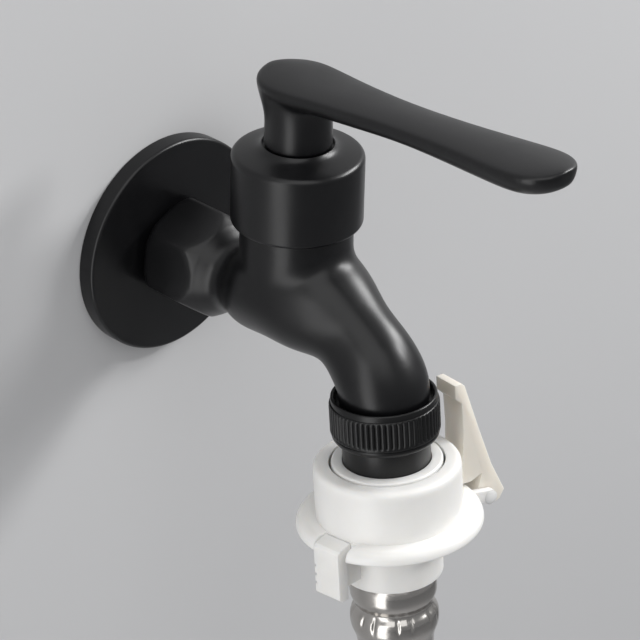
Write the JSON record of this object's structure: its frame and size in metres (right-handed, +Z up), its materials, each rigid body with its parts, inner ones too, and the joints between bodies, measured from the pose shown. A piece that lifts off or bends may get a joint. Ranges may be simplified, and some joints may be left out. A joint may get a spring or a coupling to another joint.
{
  "type": "washing machine tap",
  "caption": "Wall-mounted quarter-turn lever tap with bent spout, knurled hose nozzle and a quick ball-lock hose connector with safety hook.",
  "frame": {"origin": "centre of the wall flange's back face, on the axis of the inlet thread", "axes": "+Y into the wall along the inlet, -Y out over the spout, +Z up, +X to the right as seen from the wall's front"},
  "size_m": [0.0648, 0.1482, 0.1607],
  "materials": {
    "black_coating": "satin black coating on brass",
    "black_nozzle": "satin black coating on brass",
    "brass": "turned",
    "steel": "bright",
    "stainless": "polished",
    "white_plastic": "moulded, slightly glossy",
    "cream_plastic": "moulded, slightly glossy",
    "rubber": "matte",
    "ceramic_disc": "lapped"
  },
  "bodies": {
    "tap": {"tap_body": "black_coating", "wall_flange": "black_coating", "bonnet_cover": "black_coating", "cartridge_housing": "brass", "cartridge_gasket": "rubber", "seat_seal": "rubber", "fixed_disc": "ceramic_disc"},
    "handle": {"lever_handle": "black_coating", "handle_screw": "steel", "valve_spindle": "brass", "spindle_o_rings": "rubber", "spindle_clip": "steel", "rotating_disc": "ceramic_disc"},
    "nozzle": {"hose_nozzle": "black_nozzle", "nozzle_gasket": "rubber"},
    "coupler": {"coupler_body": "white_plastic", "ball_cage": "white_plastic", "coupler_seal": "rubber", "collar_spring": "steel", "hose_barb": "brass", "barb_o_ring": "rubber", "hose_ferrule": "stainless"},
    "collar": {"sliding_collar": "white_plastic", "latch_pin": "steel"},
    "latch": {"latch_lever": "cream_plastic"},
    "ball_1": {"locking_ball_1": "steel"},
    "ball_2": {"locking_ball_2": "steel"},
    "ball_3": {"locking_ball_3": "steel"},
    "ball_4": {"locking_ball_4": "steel"}
  },
  "joints": [
    {"name": "handle_turn", "type": "hinge", "parent": "tap", "child": "handle", "pos_m": [0, -0.04974, 0.046], "axis": [0, 0, 1], "range_deg": [0, 90]},
    {"name": "nozzle_turn", "type": "hinge", "parent": "tap", "child": "nozzle", "pos_m": [0, -0.08253, -0.01989], "axis": [0, 0.1024, 0.9947], "range_deg": [0, 360]},
    {"name": "connector_swivel", "type": "hinge", "parent": "nozzle", "child": "coupler", "pos_m": [0, -0.08509, -0.04476], "axis": [0, 0.1024, 0.9947], "continuous": true},
    {"name": "collar_slide", "type": "slide", "parent": "coupler", "child": "collar", "axis": [0, -0.1024, -0.9947], "range_m": [0, 0.004], "stiffness_N_per_m": 1500, "springref_m": -0.003, "deforming": ["collar_spring"]},
    {"name": "ball_1_slide", "type": "slide", "parent": "coupler", "child": "ball_1", "axis": [0.9848, -0.1727, 0.0178], "range_m": [0, 0.001]},
    {"name": "ball_2_slide", "type": "slide", "parent": "coupler", "child": "ball_2", "axis": [0.1736, 0.9796, -0.1009], "range_m": [0, 0.001]},
    {"name": "ball_3_slide", "type": "slide", "parent": "coupler", "child": "ball_3", "axis": [-0.9848, 0.1727, -0.0178], "range_m": [0, 0.001]},
    {"name": "ball_4_slide", "type": "slide", "parent": "coupler", "child": "ball_4", "axis": [-0.1736, -0.9796, 0.1009], "range_m": [0, 0.001]},
    {"name": "latch_swing", "type": "hinge", "parent": "collar", "child": "latch", "pos_m": [0.02787, -0.09055, -0.04983], "axis": [0.1736, 0.9796, -0.1009], "range_deg": [-8, 25]}
  ],
  "couplings": [
    {"joint": "ball_1_slide", "follows": "collar_slide", "ratio": 0.25},
    {"joint": "ball_2_slide", "follows": "collar_slide", "ratio": 0.25},
    {"joint": "ball_3_slide", "follows": "collar_slide", "ratio": 0.25},
    {"joint": "ball_4_slide", "follows": "collar_slide", "ratio": 0.25}
  ]
}
